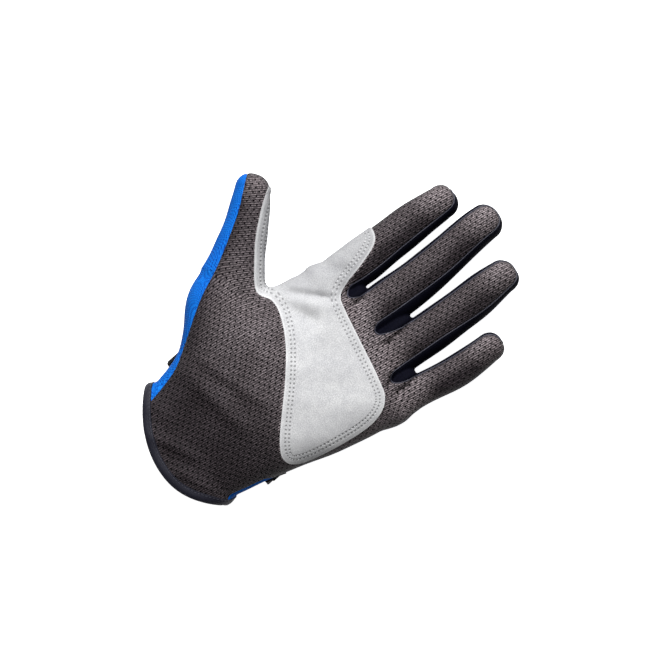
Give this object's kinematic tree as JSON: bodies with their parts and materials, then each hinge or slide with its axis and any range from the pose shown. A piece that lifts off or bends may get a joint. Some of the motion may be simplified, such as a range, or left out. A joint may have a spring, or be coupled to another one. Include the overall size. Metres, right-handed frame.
{
  "type": "sailing glove",
  "caption": "Full-finger sailing glove for the left hand: mesh palm, suede reinforcement, knit back, finger gussets, bound cuff and hook-and-loop wrist strap.",
  "frame": {"origin": "on the table under the middle of the glove's bounding box", "axes": "+Y from the cuff towards the fingertips, +X from the thumb side towards the little finger, +Z out of the palm"},
  "size_m": [0.1663, 0.2367, 0.0343],
  "materials": {
    "palm_mesh": "ribbed, perforated stretch fabric, matte with a faint sheen",
    "back_knit": "blue stretch knit, matte",
    "gusset_fabric": "smooth dark navy stretch fabric",
    "suede": "pale grey synthetic suede with short nap",
    "binding": "dark navy elastic tape",
    "hook_and_loop": "black hook-and-loop webbing",
    "tab_rubber": "black moulded rubber, satin"
  },
  "bodies": {
    "hand": {"palm_panel": "palm_mesh", "back_panel": "back_knit", "palm_suede_patch": "suede", "index_middle_web": "gusset_fabric", "middle_ring_web": "gusset_fabric", "cuff_binding": "binding", "wrist_loop_patch": "hook_and_loop", "strap_anchor": "hook_and_loop"},
    "index_base": {"index_base_palm_panel": "palm_mesh", "index_base_back_panel": "back_knit", "index_base_inner_gusset": "gusset_fabric", "index_suede_patch": "suede"},
    "index_tip": {"index_tip_palm_panel": "palm_mesh", "index_tip_back_panel": "back_knit", "index_tip_inner_gusset": "gusset_fabric"},
    "middle_base": {"middle_base_palm_panel": "palm_mesh", "middle_base_back_panel": "back_knit", "middle_base_outer_gusset": "gusset_fabric", "middle_base_inner_gusset": "gusset_fabric"},
    "middle_tip": {"middle_tip_palm_panel": "palm_mesh", "middle_tip_back_panel": "back_knit", "middle_tip_outer_gusset": "gusset_fabric", "middle_tip_inner_gusset": "gusset_fabric"},
    "ring_base": {"ring_base_palm_panel": "palm_mesh", "ring_base_back_panel": "back_knit", "ring_base_outer_gusset": "gusset_fabric", "ring_base_inner_gusset": "gusset_fabric"},
    "ring_tip": {"ring_tip_palm_panel": "palm_mesh", "ring_tip_back_panel": "back_knit", "ring_tip_outer_gusset": "gusset_fabric", "ring_tip_inner_gusset": "gusset_fabric"},
    "little_base": {"little_base_palm_panel": "palm_mesh", "little_base_back_panel": "back_knit", "little_base_outer_gusset": "gusset_fabric"},
    "little_tip": {"little_tip_palm_panel": "palm_mesh", "little_tip_back_panel": "back_knit", "little_tip_outer_gusset": "gusset_fabric"},
    "thumb_base": {"thumb_base_palm_panel": "palm_mesh", "thumb_base_back_panel": "back_knit", "thumb_base_suede_strip": "suede"},
    "thumb_tip": {"thumb_tip_palm_panel": "palm_mesh", "thumb_tip_back_panel": "back_knit", "thumb_tip_suede_strip": "suede"},
    "strap": {"wrist_strap": "hook_and_loop", "hook_patch": "hook_and_loop", "pull_tab": "tab_rubber"}
  },
  "joints": [
    {"name": "index_knuckle", "type": "hinge", "parent": "hand", "child": "index_base", "pos_m": [-0.0067, 0.0285, 0.0209], "axis": [1, 0, 0], "range_deg": [0, 75]},
    {"name": "index_middle_joint", "type": "hinge", "parent": "index_base", "child": "index_tip", "pos_m": [-0.0067, 0.066, 0.0189], "axis": [1, 0, 0], "range_deg": [0, 80]},
    {"name": "middle_knuckle", "type": "hinge", "parent": "hand", "child": "middle_base", "pos_m": [0.0204, 0.0285, 0.0197], "axis": [1, 0, 0], "range_deg": [0, 75]},
    {"name": "middle_middle_joint", "type": "hinge", "parent": "middle_base", "child": "middle_tip", "pos_m": [0.0201, 0.071, 0.0192], "axis": [1, 0, 0], "range_deg": [0, 80]},
    {"name": "ring_knuckle", "type": "hinge", "parent": "hand", "child": "ring_base", "pos_m": [0.047, 0.0285, 0.0194], "axis": [1, 0, 0], "range_deg": [0, 75]},
    {"name": "ring_middle_joint", "type": "hinge", "parent": "ring_base", "child": "ring_tip", "pos_m": [0.0475, 0.067, 0.0189], "axis": [1, 0, 0], "range_deg": [0, 80]},
    {"name": "little_knuckle", "type": "hinge", "parent": "hand", "child": "little_base", "pos_m": [0.0697, 0.0202, 0.0178], "axis": [1, 0, 0], "range_deg": [0, 75]},
    {"name": "little_middle_joint", "type": "hinge", "parent": "little_base", "child": "little_tip", "pos_m": [0.074, 0.05, 0.0172], "axis": [1, 0, 0], "range_deg": [0, 80]},
    {"name": "thumb_root_joint", "type": "hinge", "parent": "hand", "child": "thumb_base", "pos_m": [-0.0265, -0.0099, 0.0145], "axis": [0, 0, -1], "range_deg": [0, 25]},
    {"name": "thumb_middle_joint", "type": "hinge", "parent": "thumb_base", "child": "thumb_tip", "pos_m": [-0.0523, 0.0065, 0.0216], "axis": [0.5551, 0.4381, -0.7071], "range_deg": [0, 55]},
    {"name": "strap_opening", "type": "hinge", "parent": "hand", "child": "strap", "pos_m": [0.0624, -0.0646, 0.00175], "axis": [0.0976, -0.9952, 0], "range_deg": [0, 178]}
  ]
}
